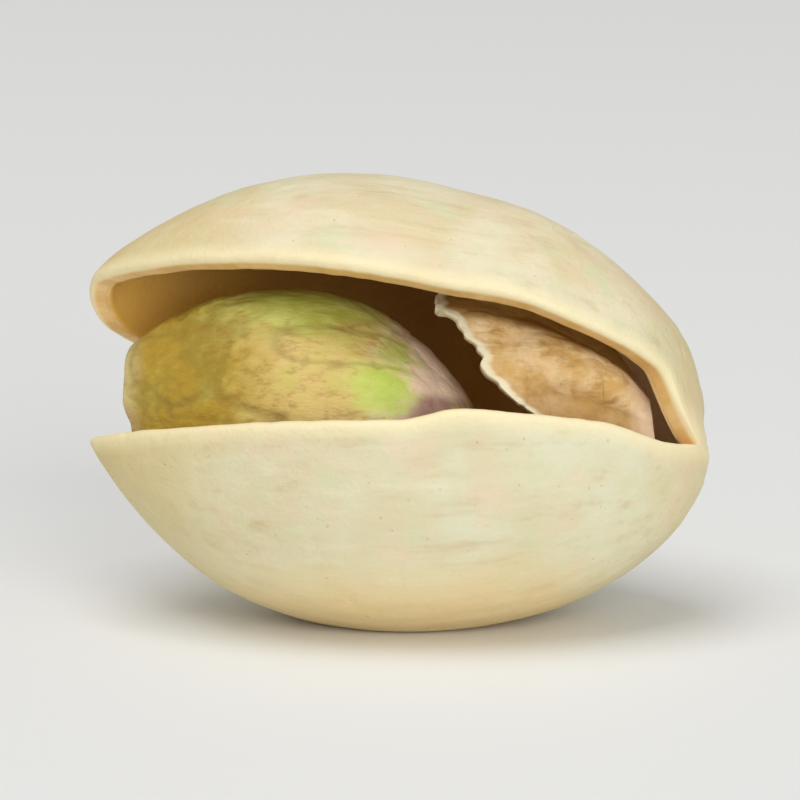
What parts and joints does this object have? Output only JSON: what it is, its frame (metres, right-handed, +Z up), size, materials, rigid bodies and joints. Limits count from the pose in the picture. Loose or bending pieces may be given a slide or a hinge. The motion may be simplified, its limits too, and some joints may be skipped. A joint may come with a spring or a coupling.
{
  "type": "pistachio in shell",
  "caption": "Roasted nut lying in its split pale shell, which gapes from the tip, with the green kernel and a torn papery seed stalk inside.",
  "frame": {"origin": "centre of the small flat spot on the outside of the lower half of the shell, on which the nut rests", "axes": "+X from the split tip to the closed base, -Y towards the side where the split is widest, +Z up"},
  "size_m": [0.0213, 0.0138, 0.0151],
  "materials": {
    "shell": "smooth, dry and matt, cream outside with a tan rim and a brown inside",
    "kernel": "slightly oily, light green and olive, with thin pink and purple-brown skin",
    "seed_stalk": "dry, papery and mottled tan, with a pale torn edge"
  },
  "bodies": {
    "root": {"shell": "shell", "kernel": "kernel", "seed_stalk": "seed_stalk"}
  },
  "joints": []
}
